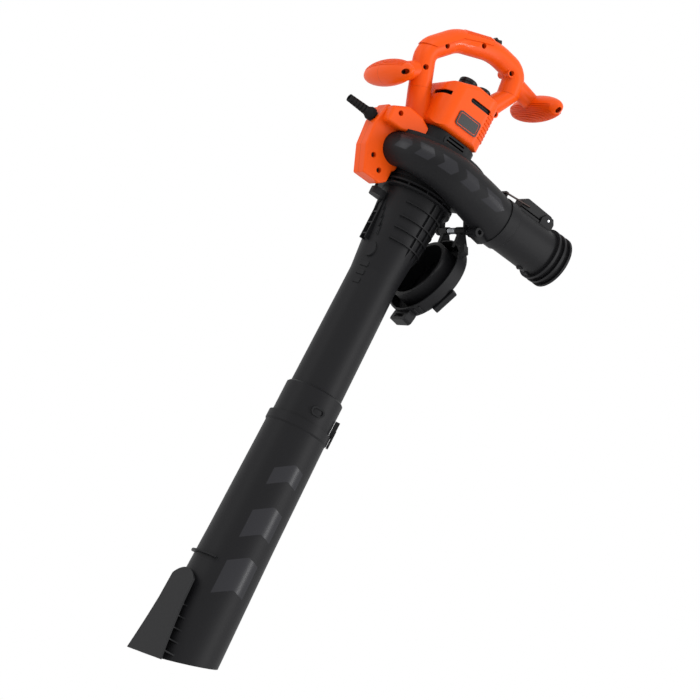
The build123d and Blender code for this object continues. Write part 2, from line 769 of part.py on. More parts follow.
with BuildPart() as bearing_bridge:
    with BuildSketch(Plane.XY.offset(1032)):
        Rectangle(2 * STATOR_R - 8, 34)
        Circle(9, mode=Mode.SUBTRACT)
    extrude(amount=15)
    with BuildSketch(Plane.XY.offset(1035.95)):
        Circle(BEARING_R + 0.05)
    extrude(amount=7.1, mode=Mode.SUBTRACT)
    with BuildSketch(Plane.XY.offset(1043)):
        Circle(BEARING_R + 0.05)
    extrude(amount=10, mode=Mode.SUBTRACT)
finish(bearing_bridge, "bearing_bridge")

with BuildPart() as rotor_shaft:
    with BuildSketch(Plane.XY.offset(SHAFT_BOTTOM_Z)):
        Circle(SHAFT_R)
    extrude(amount=SHAFT_TOP_Z - SHAFT_BOTTOM_Z)
finish(rotor_shaft, "rotor_shaft")

with BuildPart() as impeller:
    with BuildSketch(Plane.XY.offset(BACK_PLATE_Z)):
        Circle(IMPELLER_R)
    extrude(amount=3)
    with BuildSketch(Plane.XY.offset(890)):
        Circle(13)
    extrude(amount=BACK_PLATE_Z - 888)
    for i in range(BLADES):
        # a backward-leaning paddle, turned to its place round the hub
        turn = math.radians(360 / BLADES * i)
        along = (math.cos(turn), math.sin(turn), 0)
        with BuildSketch(Plane(origin=(0, 0, BACK_PLATE_Z - 26), x_dir=along, z_dir=(0, 0, 1))):
            with BuildLine():
                Polyline((10, -2), (40, 4), (74, 20), (73, 22.6), (39, 6.8), (10, 2), close=True)
            make_face()
        extrude(amount=27)
    with BuildSketch(Plane.XY.offset(880)):
        Circle(SHAFT_R + 0.02)
    extrude(amount=60, mode=Mode.SUBTRACT)
finish(impeller, "impeller")

impeller_nut = ring(886, 9.5, SHAFT_R + 0.02, 4)
finish(impeller_nut, "impeller_nut")
cooling_fan = ring(945, 34, SHAFT_R + 0.02, 3)
finish(cooling_fan, "cooling_fan")
armature = ring(960, ROTOR_R, SHAFT_R + 0.02, 46)
finish(armature, "armature")
commutator = ring(1014, 13, SHAFT_R + 0.02, 15)
finish(commutator, "commutator")
stator = ring(962.5, STATOR_R, STATOR_IN_R, 44)
finish(stator, "stator")

for label, side in (("brush_left", -1), ("brush_right", 1)):
    with BuildPart() as brush:
        with BuildSketch(Plane.XZ.offset(-side * 13.3)):
            with Locations((0, 1021.5)):
                Rectangle(7, 10)
        extrude(amount=-side * 14)
    finish(brush, label)
    with BuildPart() as holder:
        with BuildSketch(Plane.XZ.offset(-side * 15)):
            with Locations((0, 1021.5)):
                Rectangle(11, 14)
                Rectangle(7.3, 10.3, mode=Mode.SUBTRACT)
        extrude(amount=-side * 20)
    finish(holder, label.replace("brush", "brush_holder"))

# ------------------------------------------------------------------ orange shells
ARCH = [(-84, 1008), (-106, 1066), (-64, 1113), (6, 1139), (64, 1133), (69, 1092)]
ARCH_RADII = [30, 60, 90, 26]


def grip_sweep(radius):
    """The arch of the handle as a solid of round section."""
    with BuildPart() as made:
        with BuildLine() as path:
            FilletPolyline([(x, 0, z) for x, z in ARCH], radius=ARCH_RADII)
        with BuildSketch(path.line ^ 0):
            Circle(radius)
        sweep(path=path.line)
    return made.part


def bar(middle, radius, half):
    """A transverse grip: an egg shape along Y, slimmer towards both ends."""
    axis_plane = Plane(origin=(middle[0], 0, middle[1]), x_dir=(0, 1, 0), z_dir=(1, 0, 0))
    with BuildPart() as made:
        with BuildSketch(axis_plane):
            Ellipse(half, radius)
            with Locations((0, -radius)):
                Rectangle(2 * half, 2 * radius, mode=Mode.SUBTRACT)
        revolve(axis=Axis((middle[0], 0, middle[1]), (0, 1, 0)))
    return made.part


def neck(start, end, r0, r1):
    """A tapered round neck between two points of the plane Y = 0."""
    direction = (end[0] - start[0], 0, end[1] - start[1])
    first = Plane(origin=(start[0], 0, start[1]), x_dir=(0, 1, 0), z_dir=direction)
    last = Plane(origin=(end[0], 0, end[1]), x_dir=(0, 1, 0), z_dir=direction)
    with BuildPart() as made:
        loft([round_section(first, r0), round_section(last, r1)])
    return made.part


def handle_solids(inset):
    """The arch, both transverse grips and their necks, inset by a wall."""
    return [
        grip_sweep(GRIP_R - inset),
        bar(REAR_BAR, BAR_R - inset, BAR_HALF - inset),
        bar(FRONT_BAR, BAR_R - inset, BAR_HALF - inset),
        neck(REAR_BAR, (-95, 1037), 16 - inset, 15.5 - inset),
        neck((57, 1117), FRONT_BAR, 16.5 - inset, 14.5 - inset),
    ]


def prism(points, half, inset, corner, soften):
    """An outline in the plane Y = 0, thickened both ways, its corners and rims rounded."""
    with BuildPart() as made:
        with BuildSketch(Plane.XZ) as outline:
            with BuildLine():
                Polyline(*points, close=True)
            make_face()
            fillet(outline.vertices(), radius=corner)
            if inset:
                offset(amount=-inset)
        extrude(amount=half - inset, both=True)
        rims = made.faces().filter_by(Axis.Y).edges()
        fillet(rims, radius=soften - inset * 0.5)
    return made.part


def seam_loft(start, start_dir, end, end_dir, r0, r1):
    """A round leg between two sections that face their own ways."""
    first = Plane(origin=(start[0], 0, start[1]), x_dir=(0, 1, 0), z_dir=(start_dir[0], 0, start_dir[1]))
    last = Plane(origin=(end[0], 0, end[1]), x_dir=(0, 1, 0), z_dir=(end_dir[0], 0, end_dir[1]))
    with BuildPart() as made:
        loft([round_section(first, r0), round_section(last, r1)])
    return made.part


BLOCK = [(-62, 957), (37, 957), (43, 965), (43, 1032), (28, 1050), (-14, 1052), (-62, 1034)]
BLOCK_MIN_X = -62.0
BLOCK_MAX_X = 43.0
BLOCK_CORNER_R = 26.0
BLOCK_TOP_Z = 1052.0
CAP_FOOT_Z = BLOCK_TOP_Z + 0.3
FRONT_CAP_X = 25.0         # middle of the front cap
FRONT_CAP_R = 12.5
SADDLE = [(-128, 944), (-100, 959), (-70, 957), (-42, 943), (-40, 932), (-96, 918), (-126, 918)]
SPINE = [
    (-128, 948), (-136, 912), (-132, 871), (-113, 829), (-78, 829), (-67.5, 838),
    (-67.5, 857), (-62.5, 863), (-62.5, 873), (-92, 896), (-92, 948),
]


def motor_block(inset):
    """The motor cover: the side outline with rounded rims, its upright corners rounded far more."""
    length = BLOCK_MAX_X - BLOCK_MIN_X
    with BuildPart() as made:
        add(prism(BLOCK, COVER_HALF_Y, inset, 9, 8))
        with BuildSketch(Plane.XY.offset(940)):
            with Locations(((BLOCK_MAX_X + BLOCK_MIN_X) / 2, 0)):
                RectangleRounded(length - 2 * inset, 2 * (COVER_HALF_Y - inset), BLOCK_CORNER_R - inset)
        extrude(amount=130, mode=Mode.INTERSECT)
    return made.part


def motor_solids(inset):
    """Motor cover, saddle over the scroll, cord spine and both legs, inset by a wall."""
    return [
        motor_block(inset),
        prism(SADDLE, 34, inset, 4.5, 4.2),
        prism(SPINE, 17, inset, 3.5, 3.2),
        seam_loft((-84.1, 1007.7), (22, -58), (-62, 960), (22, -58), GRIP_R - inset, 21 - inset),
        seam_loft((69, 1091.6), (5, -41), (34, 1034), (-35, -41), GRIP_R - inset, 19 - inset),
    ]


# screws: places in the plane Y = 0; the heads sit in recesses on the -Y side
HANDLE_SCREWS = [(-83, 1088), (-23, 1128), (48, 1121), (-100, 1036)]
NARROW_SCREWS = [(55, 1046), (-111, 862), (-90, 846)]
WIDE_SCREWS = [(-110, 940)]
HOUSING_SCREWS = NARROW_SCREWS + WIDE_SCREWS
BAR_SCREWS = [(-151, 990), (131, 1100)]
RECESS_R = 4.6
RECESS_FLOOR_Y = 8.0       # every recess ends this far on the -Y side of the joint
BOSS_R = 6.6
HANDLE_BOSS_HALF = 15.5
NARROW_BOSS_HALF = 15.0
WIDE_BOSS_HALF = 32.5
HEAD_R = 3.8
HEAD_T = 2.6
SHANK_R = 1.7
SCREW_LENGTH = 16.0
BULKHEAD_Y = 50.0          # inner face of the disc inside each end of a transverse grip
BULKHEAD_T = 3.0
BULKHEAD_R = 13.3
BAR_SCREW_LENGTH = 12.0


handle_skin = handle_solids(0)
handle_core = handle_solids(WALL)
motor_skin = motor_solids(0)
motor_core = motor_solids(WALL)
scroll_room = [loft(scroll_faces(-0.5)), loft(duct_faces(-0.5))]
cover_band = grip_sweep(GRIP_R + 1.7)
cover_under = grip_sweep(GRIP_R + 0.3)

with BuildPart() as handle_shell:
    for solid in handle_skin:
        add(solid)
    for solid in handle_core:
        add(solid, mode=Mode.SUBTRACT)
    for x, z in HANDLE_SCREWS:
        with BuildSketch(Plane.XZ.offset(HANDLE_BOSS_HALF)):
            with Locations((x, z)):
                Circle(BOSS_R)
        extrude(amount=-2 * HANDLE_BOSS_HALF)
    for x, z in HANDLE_SCREWS:
        with BuildSketch(Plane.XZ.offset(RECESS_FLOOR_Y)):
            with Locations((x, z)):
                Circle(RECESS_R)
        extrude(amount=30, mode=Mode.SUBTRACT)
        with BuildSketch(Plane.XZ.offset(RECESS_FLOOR_Y + 1)):
            with Locations((x, z)):
                Circle(SHANK_R + 0.05)
        extrude(amount=-(SCREW_LENGTH + 2), mode=Mode.SUBTRACT)
    # a disc across each end of the transverse grips, and the recess of its screw
    for x, z in (REAR_BAR, FRONT_BAR):
        for y in (-BULKHEAD_Y - BULKHEAD_T, BULKHEAD_Y):
            with BuildSketch(Plane.XZ.offset(-y)):
                with Locations((x, z)):
                    Circle(BULKHEAD_R)
            extrude(amount=-BULKHEAD_T)
    for x, z in BAR_SCREWS:
        with BuildSketch(Plane.XZ.offset(BULKHEAD_Y + BULKHEAD_T)):
            with Locations((x, z)):
                Circle(RECESS_R)
        extrude(amount=30, mode=Mode.SUBTRACT)
        with BuildSketch(Plane.XZ.offset(BULKHEAD_Y + BULKHEAD_T + 1)):
            with Locations((x, z)):
                Circle(SHANK_R + 0.05)
        extrude(amount=-BULKHEAD_T - 2, mode=Mode.SUBTRACT)
    # slot for the speed slider
    with BuildSketch(Plane.XY.offset(1142)):
        with Locations((15, 0)):
            SlotOverall(42, 9)
    extrude(amount=30, mode=Mode.SUBTRACT)


def write_halves(shell, prefix):
    """Cut a shell at Y = 0 and write the left (-Y) and right (+Y) halves."""
    for name, side in (("left", -1), ("right", 1)):
        with BuildPart() as half:
            add(shell.part)
            with BuildSketch(Plane.XZ):
                with Locations((0, 1000)):
                    Rectangle(900, 700)
            extrude(amount=-side * 200, mode=Mode.INTERSECT)
        finish(half, f"{prefix}_{name}")


write_halves(handle_shell, "handle")

BOOT_Z = 921.5
INTERLOCK_X = -73.0
INTERLOCK_R = 2.5
with BuildPart() as motor_shell:
    for solid in motor_skin:
        add(solid)
    for solid in motor_core:
        add(solid, mode=Mode.SUBTRACT)
    for half, places in ((NARROW_BOSS_HALF, NARROW_SCREWS), (WIDE_BOSS_HALF, WIDE_SCREWS)):
        for x, z in places:
            with BuildSketch(Plane.XZ.offset(half)):
                with Locations((x, z)):
                    Circle(BOSS_R)
            extrude(amount=-2 * half)
    for x, z in HOUSING_SCREWS:
        with BuildSketch(Plane.XZ.offset(RECESS_FLOOR_Y)):
            with Locations((x, z)):
                Circle(RECESS_R)
        extrude(amount=60, mode=Mode.SUBTRACT)
        with BuildSketch(Plane.XZ.offset(RECESS_FLOOR_Y + 1)):
            with Locations((x, z)):
                Circle(SHANK_R + 0.05)
        extrude(amount=-(SCREW_LENGTH + 2), mode=Mode.SUBTRACT)
    # room for the motor, the fan housing and the cord boot
    with BuildSketch(Plane.XY.offset(950)):
        Circle(46)
    extrude(amount=20, mode=Mode.SUBTRACT)
    with BuildSketch(Plane.XY.offset(960)):
        Circle(STATOR_R + 1)
    extrude(amount=90, mode=Mode.SUBTRACT)
    for solid in scroll_room:
        add(solid, mode=Mode.SUBTRACT)
    with BuildSketch(Plane.XY.offset(CHAMBER_FLOOR_Z - 0.5)):
        Circle(CHAMBER_R + 0.5)
    extrude(amount=CHAMBER_TOP_Z - CHAMBER_FLOOR_Z + 1, mode=Mode.SUBTRACT)
    with BuildSketch(Plane.XY.offset(BASE_BOTTOM_Z - 1)):
        with Locations((BASE_X, 0)):
            RectangleRounded(2 * BASE_HALF_X + 1, 2 * BASE_HALF_Y + 1, 30)
    extrude(amount=BASE_TOP_Z - BASE_BOTTOM_Z + 1.4, mode=Mode.SUBTRACT)
    with BuildSketch(Plane.YZ.offset(-150)):
        with Locations((0, BOOT_Z)):
            Circle(8.0)
    extrude(amount=25, mode=Mode.SUBTRACT)
    # cooling slots, front and back
    with BuildSketch(Plane.XZ.offset(80)):
        with Locations((3, 1024)):
            SlotOverall(44, 8.5)
    extrude(amount=-160, mode=Mode.SUBTRACT)
    # and one round each rear corner
    with BuildSketch(Plane.XY.offset(1011)):
        with GridLocations(0, 58, 1, 2):
            with Locations((-58, 0)):
                Rectangle(26, 42)
    extrude(amount=7.5, mode=Mode.SUBTRACT)
    # guide of the interlock pin in the floor of the cord spine
    with BuildSketch(Plane.XY.offset(FLANGE_Z - 16)):
        with Locations((INTERLOCK_X, 0)):
            Circle(INTERLOCK_R + 0.05)
    extrude(amount=14, mode=Mode.SUBTRACT)
    # the front leg stands beside the front cap
    with BuildSketch(Plane.XY.offset(CAP_FOOT_Z)):
        with Locations((FRONT_CAP_X, 0)):
            Circle(FRONT_CAP_R + 0.4)
    extrude(amount=26, mode=Mode.SUBTRACT)
write_halves(motor_shell, "motor_housing")

with BuildPart() as grip_cover:
    add(cover_band)
    add(cover_under, mode=Mode.SUBTRACT)
    with BuildSketch(Plane.XZ):
        with BuildLine():
            Polyline(
                (-128, 1070), (-98, 1076), (-62, 1117), (-30, 1131), (-8, 1139),
                (-2, 1175), (-128, 1175), close=True,
            )
        make_face()
    extrude(amount=30, both=True, mode=Mode.INTERSECT)
finish(grip_cover, "grip_cover")

# screws: one node per length, every screw a separate solid
with BuildPart() as housing_screws:
    for x, z in HANDLE_SCREWS + HOUSING_SCREWS:
        with BuildSketch(Plane.XZ.offset(RECESS_FLOOR_Y)):
            with Locations((x, z)):
                Circle(HEAD_R)
        extrude(amount=HEAD_T)
        with BuildSketch(Plane.XZ.offset(RECESS_FLOOR_Y)):
            with Locations((x, z)):
                Circle(SHANK_R)
        extrude(amount=-SCREW_LENGTH)
        with BuildSketch(Plane.XZ.offset(RECESS_FLOOR_Y + HEAD_T)):
            with Locations((x, z)):
                Rectangle(4.6, 1.0)
                Rectangle(1.0, 4.6)
        extrude(amount=-1.3, mode=Mode.SUBTRACT)
finish(housing_screws, "housing_screws")
with BuildPart() as bar_screws:
    for x, z in BAR_SCREWS:
        with BuildSketch(Plane.XZ.offset(BULKHEAD_Y + BULKHEAD_T)):
            with Locations((x, z)):
                Circle(HEAD_R)
        extrude(amount=HEAD_T)
        with BuildSketch(Plane.XZ.offset(BULKHEAD_Y + BULKHEAD_T)):
            with Locations((x, z)):
                Circle(SHANK_R)
        extrude(amount=-BAR_SCREW_LENGTH)
        with BuildSketch(Plane.XZ.offset(BULKHEAD_Y + BULKHEAD_T + HEAD_T)):
            with Locations((x, z)):
                Rectangle(4.6, 1.0)
                Rectangle(1.0, 4.6)
        extrude(amount=-1.3, mode=Mode.SUBTRACT)
finish(bar_screws, "bar_screws")

# ------------------------------------------------------------------ controls, badge, cord boot
with BuildPart() as speed_slider:
    with BuildSketch(Plane.XY.offset(1146)):
        with Locations((6, 0)):
            RectangleRounded(12, 7, 2)
    extrude(amount=9)
    with BuildSketch(Plane.XZ.offset(4.5)):
        with BuildLine():
            Polyline((-3, 1157.5), (-1, 1161), (4, 1159.6), (10, 1162), (13, 1156.5), (4, 1156.5), close=True)
        make_face()
    extrude(amount=-9)
    with BuildSketch(Plane.XY.offset(1154)):
        with Locations((6, 0)):
            RectangleRounded(11, 6, 2)
    extrude(amount=4)
finish(speed_slider, "speed_slider")

with BuildPart() as switch_module:
    with BuildSketch(Plane.XY.offset(1125)):
        with Locations((12, 0)):
            RectangleRounded(36, 16, 2)
    extrude(amount=17)
finish(switch_module, "switch_module")

with BuildPart() as badge:
    with BuildSketch(Plane.XZ.offset(COVER_HALF_Y + 0.1)):
        with Locations((-5, 986)):
            RectangleRounded(46, 26, 5)
    extrude(amount=1.6)
    with BuildSketch(Plane.XZ.offset(COVER_HALF_Y + 1.7)):
        with Locations((-5, 986)):
            RectangleRounded(41, 21, 3.5)
            RectangleRounded(38.6, 18.6, 2.6, mode=Mode.SUBTRACT)
    extrude(amount=-0.7, mode=Mode.SUBTRACT)
finish(badge, "badge")

for label, x, radius, height in (("top_cap_rear", -8, 16.0, 19.0), ("top_cap_front", FRONT_CAP_X, FRONT_CAP_R, 22.0)):
    with BuildPart() as cap:
        with BuildSketch(Plane.XY.offset(CAP_FOOT_Z)):
            with Locations((x, 0)):
                Circle(radius)
        extrude(amount=height)
        fillet(cap.edges().group_by(Axis.Z)[-1], radius=4)
        # a step below the crown
        with BuildSketch(Plane.XY.offset(CAP_FOOT_Z + 10)):
            with Locations((x, 0)):
                Circle(radius + 1)
                Circle(radius - 1.2, mode=Mode.SUBTRACT)
        extrude(amount=2, mode=Mode.SUBTRACT)
    finish(cap, label)

for label, side in (("vent_grille_left", -1), ("vent_grille_right", 1)):
    with BuildPart() as grille:
        with BuildSketch(Plane.XZ.offset(-side * (COVER_HALF_Y - WALL - 3.5))):
            with Locations((3, 1024)):
                Rectangle(44, 20)
            with GridLocations(0, 4.0, 1, 3):
                with Locations((3, 1024)):
                    Rectangle(40, 1.2, mode=Mode.SUBTRACT)
        extrude(amount=-side * 1.6)
    finish(grille, label)

with BuildPart() as cord_boot:
    with BuildSketch(Plane.XZ):
        with BuildLine():
            Polyline(
                (-188, BOOT_Z), (-188, BOOT_Z + 6.4), (-150, BOOT_Z + 7.6), (-144, BOOT_Z + 11),
                (-137.4, BOOT_Z + 11), (-137.4, BOOT_Z + 7.7), (-125, BOOT_Z + 7.7), (-125, BOOT_Z), close=True,
            )
        make_face()
    revolve(axis=Axis((0, 0, BOOT_Z), (1, 0, 0)))
    for i in range(5):
        with BuildSketch(Plane.YZ.offset(-184 + 6.5 * i)):
            with Locations((0, BOOT_Z)):
                Circle(9)
                Circle(6.0, mode=Mode.SUBTRACT)
        extrude(amount=2.2, mode=Mode.SUBTRACT)
    with BuildSketch(Plane.YZ.offset(-189)):
        with Locations((0, BOOT_Z)):
            Circle(4.0)
    extrude(amount=70, mode=Mode.SUBTRACT)
finish(cord_boot, "cord_boot")

with BuildPart() as cord_clamp:
    with BuildSketch(Plane.XY.offset(BOOT_Z - 12)):
        with Locations((-116, 0)):
            RectangleRounded(8, 24, 2)
    extrude(amount=4)
finish(cord_clamp, "cord_clamp")

# pushed up by the lobe of the suction tube once the tube is locked on
with BuildPart() as interlock_pin:
    with BuildSketch(Plane.XY.offset(FLANGE_Z - 16 + GAP)):
        with Locations((INTERLOCK_X, 0)):
            Circle(INTERLOCK_R)
    extrude(amount=20)
finish(interlock_pin, "interlock_pin")
print("written", len(FINISHED))
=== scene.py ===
# %% [markdown]
# # A corded garden blower in vacuum mode
# The CAD model already holds every moulding, joint and screw at its real size. Here we give
# those pieces their finishes, add the small surface details that only matter to the eye, and
# light them in a plain white studio. We start by loading the CAD model as a fixed frame.

# %% Load the CAD frame
import math

import bmesh
import bpy
from mathutils import Matrix, Vector


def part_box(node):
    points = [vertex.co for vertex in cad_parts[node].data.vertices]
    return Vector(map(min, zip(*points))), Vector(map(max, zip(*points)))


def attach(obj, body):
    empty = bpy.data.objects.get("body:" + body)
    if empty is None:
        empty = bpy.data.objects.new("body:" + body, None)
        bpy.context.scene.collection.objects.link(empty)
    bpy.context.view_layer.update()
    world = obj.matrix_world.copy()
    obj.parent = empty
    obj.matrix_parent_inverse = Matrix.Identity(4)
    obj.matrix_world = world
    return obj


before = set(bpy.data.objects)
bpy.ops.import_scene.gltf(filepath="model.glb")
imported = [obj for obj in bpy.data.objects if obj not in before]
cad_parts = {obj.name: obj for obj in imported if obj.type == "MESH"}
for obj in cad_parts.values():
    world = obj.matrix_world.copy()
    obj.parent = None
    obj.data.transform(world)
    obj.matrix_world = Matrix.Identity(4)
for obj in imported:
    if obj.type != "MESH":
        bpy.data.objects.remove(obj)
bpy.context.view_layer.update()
MM = 0.001

# %% [markdown]
# ## The camera first
# The picture is taken from in front and a little below, with the tool leaning across the frame.
# A long lens a few metres away keeps the tube almost parallel-sided. The three directions below
# are the camera's own right, down and forward, so together they hold the viewing angle and the
# roll.

# %% Camera
CAMERA_PLACE = Vector((-1.5775, -2.9310, -0.1939))
CAMERA_RIGHT = Vector((0.7343, -0.5163, 0.4408))
CAMERA_DOWN = Vector((0.4933, -0.0404, -0.8689))
CAMERA_FORWARD = Vector((0.4664, 0.8555, 0.2250))
LENS_MM = 110.0
SENSOR_MM = 36.0

camera_data = bpy.data.cameras.new("studio_camera")
camera_data.lens = LENS_MM
camera_data.sensor_width = SENSOR_MM
camera = bpy.data.objects.new("studio_camera", camera_data)
bpy.context.scene.collection.objects.link(camera)
turn = Matrix((CAMERA_RIGHT, -CAMERA_DOWN, -CAMERA_FORWARD)).transposed().to_4x4()
camera.matrix_world = Matrix.Translation(CAMERA_PLACE) @ turn
bpy.context.scene.camera = camera
print("camera stands", round(CAMERA_PLACE.length, 2), "m from the nozzle")

# %% [markdown]
# ## White studio
# Dark plastic has hardly any colour of its own, so what we see on it is the room. A white room
# gives the pale rim along each tube, one tall strip light at the right draws the bright streak
# that shows which patches are glossy, and a large soft light above models the orange shells.

# %% Studio
FLOOR_DROP = 0.30            # metres under the nozzle
FLOOR_SIZE = 60.0
ROOM_BRIGHTNESS = 1.0


def colour(hex_code):
    """An sRGB hex colour as the linear RGBA that Blender's shaders work in."""
    channels = [int(hex_code[i:i + 2], 16) / 255 for i in (1, 3, 5)]
    return [c / 12.92 if c <= 0.04045 else ((c + 0.055) / 1.055) ** 2.4 for c in channels] + [1.0]


world = bpy.data.worlds.new("white_room")
bpy.context.scene.world = world
world.use_nodes = True
background = world.node_tree.nodes["Background"]
background.inputs["Color"].default_value = colour("#ffffff")
background.inputs["Strength"].default_value = ROOM_BRIGHTNESS
bpy.context.scene.view_settings.view_transform = "Standard"


def area_light(name, place, aim, width, height, watts):
    """One rectangular lamp at a place, turned to face a point."""
    lamp = bpy.data.lights.new(name, "AREA")
    lamp.shape = "RECTANGLE"
    lamp.size = width
    lamp.size_y = height
    lamp.energy = watts
    lamp_object = bpy.data.objects.new(name, lamp)
    bpy.context.scene.collection.objects.link(lamp_object)
    facing = (Vector(aim) - Vector(place)).to_track_quat("-Z", "Y")
    lamp_object.matrix_world = Matrix.Translation(place) @ facing.to_matrix().to_4x4()


area_light("soft_box_above", (-1.6, -1.4, 2.9), (0, 0, 0.9), width=1.6, height=1.6, watts=22)
area_light("strip_at_right", (1.45, -1.65, 0.75), (0, 0, 0.35), width=0.3, height=2.6, watts=34)
area_light("strip_at_left", (-2.2, 0.2, 0.9), (0, 0, 0.6), width=0.5, height=2.0, watts=9)

floor_mesh = bmesh.new()
bmesh.ops.create_grid(floor_mesh, x_segments=1, y_segments=1, size=FLOOR_SIZE / 2)
bmesh.ops.translate(floor_mesh, verts=floor_mesh.verts, vec=(0, 0, -FLOOR_DROP))
floor_data = bpy.data.meshes.new("floor")
floor_mesh.to_mesh(floor_data)
floor_mesh.free()
floor = bpy.data.objects.new("floor", floor_data)
bpy.context.scene.collection.objects.link(floor)

# %% [markdown]
# ## A way to write shaders
# Every finish below is a Principled BSDF with a few nodes in front of it. One small function
# adds a node, sets it up and links it, so a finish can be read from top to bottom. A second one
# opens a new material and sets the values that stay the same all over the surface.

# %% Node and material helpers
GRAIN_DETAIL = 2.0           # octaves of the noise that makes the grain


def add(tree, kind, settings=(), **links):
    """Add a node. Links are named by socket index, as in_0; each is a number, colour or node."""
    made = tree.nodes.new(kind)
    for name, value in dict(settings).items():
        setattr(made, name, value)
    for name, value in links.items():
        socket = made.inputs[int(name[3:])]
        if isinstance(value, bpy.types.Node):
            tree.links.new(value.outputs[0], socket)
        elif isinstance(value, bpy.types.NodeSocket):
            tree.links.new(value, socket)
        else:
            socket.default_value = value
    return made


def new_finish(name, base, roughness, metallic=0.0, specular=0.5):
    """A material with one Principled BSDF, returned with its node tree and shader."""
    material = bpy.data.materials.new(name)
    material.use_nodes = True
    tree = material.node_tree
    shader = tree.nodes["Principled BSDF"]
    shader.inputs["Base Color"].default_value = colour(base)
    shader.inputs["Roughness"].default_value = roughness
    shader.inputs["Metallic"].default_value = metallic
    shader.inputs["Specular IOR Level"].default_value = specular
    return material, tree, shader


def grain(tree, shader, size_mm, depth_mm, strength):
    """Fine moulded grain: the bump of a noise whose lumps are size_mm across."""
    place = add(tree, "ShaderNodeTexCoord")
    noise = add(tree, "ShaderNodeTexNoise", in_0=place.outputs["Object"],
                in_2=1 / (size_mm * MM), in_3=GRAIN_DETAIL)
    bump = add(tree, "ShaderNodeBump", in_0=strength, in_1=depth_mm * MM, in_3=noise)
    tree.links.new(bump.outputs[0], shader.inputs["Normal"])
    return place, bump


# %% [markdown]
# ## Charcoal polypropylene
# The suction tubes, the fan housing and the outlet are injection-moulded polypropylene. The
# steel tool was spark-eroded, which leaves an even matt grain. Real grain is about 0.3 mm, too
# fine to show from here, so it is drawn at 0.8 mm. The material stays very dark with a soft,
# low sheen.

# %% Plain charcoal
CHARCOAL = "#121214"
CHARCOAL_SHEEN = 0.16
MATT = 0.52
GRAIN_MM = 0.8
GRAIN_DEPTH_MM = 0.12
GRAIN_STRENGTH = 0.25

charcoal, tree, shader = new_finish("charcoal_polypropylene_matt", CHARCOAL, MATT,
                                    specular=CHARCOAL_SHEEN)
grain(tree, shader, GRAIN_MM, GRAIN_DEPTH_MM, GRAIN_STRENGTH)
print("finish:", charcoal.name)

# %% [markdown]
# ## Glossy chevrons
# Parts of the tool's cavity were polished instead of eroded, so chevron-shaped patches come out
# smoother than the plastic round them. It is the same plastic, so the roughness and the grain
# change, and the base colour is made a touch lighter there as a painted sheen. On the lower tube
# the chevrons climb the front in three sizes. We find where we are on the tube from the polar
# angle about Z and the height, and bend each band's edge into a chevron. Each band is given as
# the height of its lower edge and how tall it is.

# %% Chevrons of the lower tube
CHEVRON_POINT_DEG = 268.0
CHEVRON_LEFT_DEG = 31.0
CHEVRON_RIGHT_DEG = 24.0
LEFT_FALL_MM = 19.4
RIGHT_FALL_MM = 6.0
POINT_ROUNDING_MM = 4.0
CHEVRON_BANDS_MM = ((144.0, 56.0), (240.0, 47.0), (332.0, 29.0))
GLOSS_ROUGHNESS = 0.27
# painted sheen: a lighter base colour on the polished patches stands in for their reflection
PAINTED_SHEEN_COLOUR = "#27272a"
GLOSS_GRAIN_STRENGTH = 0.02


def polish_with_painted_sheen(tree, shader, bump, mask):
    """Blend from matt to polished by a 0..1 mask: smoother and without grain, with a painted sheen
    that makes the base a touch lighter.
    """
    rough = add(tree, "ShaderNodeMapRange", in_0=mask, in_3=MATT, in_4=GLOSS_ROUGHNESS)
    tree.links.new(rough.outputs[0], shader.inputs["Roughness"])
    # painted sheen: the polished patches get a lighter base colour than the matt plastic
    tint = add(tree, "ShaderNodeMix", {"data_type": "RGBA"}, in_0=mask,
               in_6=colour(CHARCOAL), in_7=colour(PAINTED_SHEEN_COLOUR))
    tree.links.new(tint.outputs[2], shader.inputs["Base Color"])
    fade = add(tree, "ShaderNodeMapRange", in_0=mask, in_3=GRAIN_STRENGTH,
               in_4=GLOSS_GRAIN_STRENGTH)
    tree.links.new(fade.outputs[0], bump.inputs[0])


tube_plastic, tree, shader = new_finish("charcoal_polypropylene_with_tube_chevrons",
                                        CHARCOAL, MATT, specular=CHARCOAL_SHEEN)
place, bump = grain(tree, shader, GRAIN_MM, GRAIN_DEPTH_MM, GRAIN_STRENGTH)
split = add(tree, "ShaderNodeSeparateXYZ", in_0=place.outputs["Object"])
# the negative of x and y moves the jump of the arctangent to the back of the tube
back_x = add(tree, "ShaderNodeMath", {"operation": "MULTIPLY"}, in_0=split.outputs[0], in_1=-1.0)
back_y = add(tree, "ShaderNodeMath", {"operation": "MULTIPLY"}, in_0=split.outputs[1], in_1=-1.0)
angle = add(tree, "ShaderNodeMath", {"operation": "ARCTAN2"}, in_0=back_y, in_1=back_x)
off = add(tree, "ShaderNodeMath", {"operation": "SUBTRACT"}, in_0=angle,
          in_1=math.radians(CHEVRON_POINT_DEG - 180))
left_slope = -LEFT_FALL_MM * MM / math.radians(CHEVRON_LEFT_DEG)
right_slope = RIGHT_FALL_MM * MM / math.radians(CHEVRON_RIGHT_DEG)
left_fall = add(tree, "ShaderNodeMath", {"operation": "MULTIPLY"}, in_0=off, in_1=left_slope)
right_fall = add(tree, "ShaderNodeMath", {"operation": "MULTIPLY"}, in_0=off, in_1=right_slope)
fall = add(tree, "ShaderNodeMath", {"operation": "SMOOTH_MAX"}, in_0=left_fall, in_1=right_fall,
           in_2=POINT_ROUNDING_MM * MM)
level = add(tree, "ShaderNodeMath", {"operation": "ADD"}, in_0=split.outputs[2], in_1=fall)
shift = math.radians(CHEVRON_LEFT_DEG - CHEVRON_RIGHT_DEG) / 2
centred = add(tree, "ShaderNodeMath", {"operation": "ADD"}, in_0=off, in_1=shift)
side = add(tree, "ShaderNodeMath", {"operation": "ABSOLUTE"}, in_0=centred)
